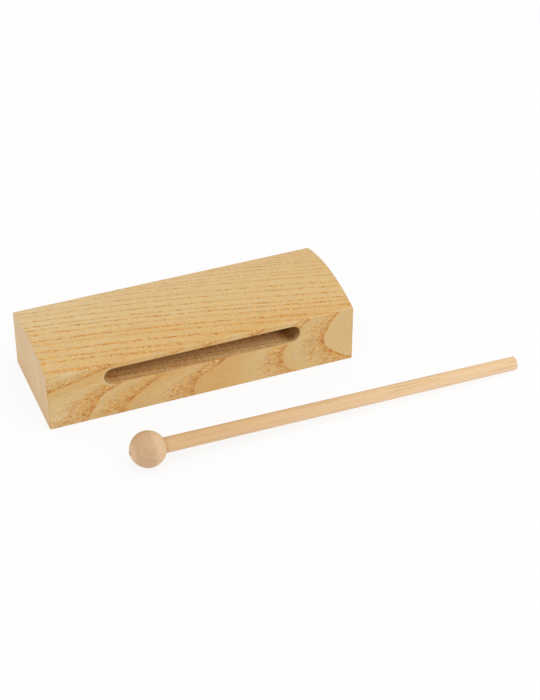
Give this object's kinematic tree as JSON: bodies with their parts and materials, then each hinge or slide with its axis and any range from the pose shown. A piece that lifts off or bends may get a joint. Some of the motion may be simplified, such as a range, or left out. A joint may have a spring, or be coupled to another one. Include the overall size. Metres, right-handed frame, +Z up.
{
  "type": "wood block",
  "caption": "Arched ash wood block with a rounded resonance slot milled in its front, struck with a turned wooden ball mallet that lies loose in front of it.",
  "frame": {"origin": "middle of the block's base face, on the surface that the block and the mallet rest on", "axes": "+X along the block, +Y from the slotted front to the back, +Z up through the arched top"},
  "size_m": [0.2621, 0.1241, 0.04],
  "materials": {
    "ash": "open-pored ash, sanded and left matt",
    "head_wood": "turned pale hardwood, sanded and left matt",
    "handle_wood": "straight-grained pale hardwood dowel, matt"
  },
  "bodies": {
    "block": {"block": "ash"},
    "mallet": {"mallet_head": "head_wood", "mallet_handle": "handle_wood"}
  },
  "joints": [
    {"name": "mallet_lift", "type": "slide", "parent": "block", "child": "mallet", "axis": [0, 0, 1], "range_m": [0, 0.15]}
  ]
}
